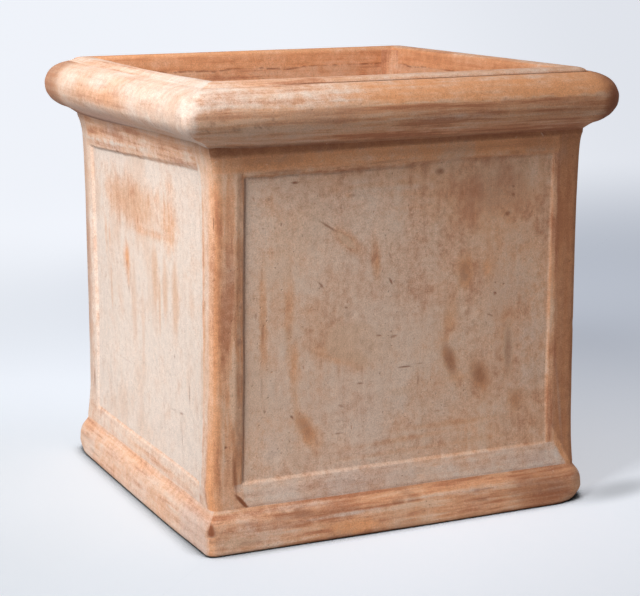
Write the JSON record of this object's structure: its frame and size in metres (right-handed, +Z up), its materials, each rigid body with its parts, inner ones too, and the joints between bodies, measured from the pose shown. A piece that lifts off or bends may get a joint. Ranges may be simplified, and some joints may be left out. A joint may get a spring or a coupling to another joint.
{
  "type": "cube planter",
  "caption": "Square terracotta planter with a rolled rim, sunk side panels, a foot moulding and a drain hole, built up from slabs, run mouldings and coils.",
  "frame": {"origin": "centre of the underside, on the surface that the pot stands on", "axes": "+Z up through the drain hole; -Y is the panel that faces the viewer on the right of the picture, -X the panel on its left"},
  "size_m": [0.5, 0.5, 0.4764],
  "materials": {
    "terracotta": "matt unglazed, limewashed and rubbed back"
  },
  "bodies": {
    "root": {"base_slab": "terracotta", "wall_back": "terracotta", "wall_left": "terracotta", "wall_front": "terracotta", "wall_right": "terracotta", "foot_back": "terracotta", "foot_left": "terracotta", "foot_front": "terracotta", "foot_right": "terracotta", "rim_back": "terracotta", "rim_left": "terracotta", "rim_front": "terracotta", "rim_right": "terracotta", "lip_back": "terracotta", "lip_left": "terracotta", "lip_front": "terracotta", "lip_right": "terracotta", "floor_coil_back": "terracotta", "floor_coil_left": "terracotta", "floor_coil_front": "terracotta", "floor_coil_right": "terracotta", "corner_coil_back_right": "terracotta", "corner_coil_back_left": "terracotta", "corner_coil_front_left": "terracotta", "corner_coil_front_right": "terracotta"}
  },
  "joints": []
}
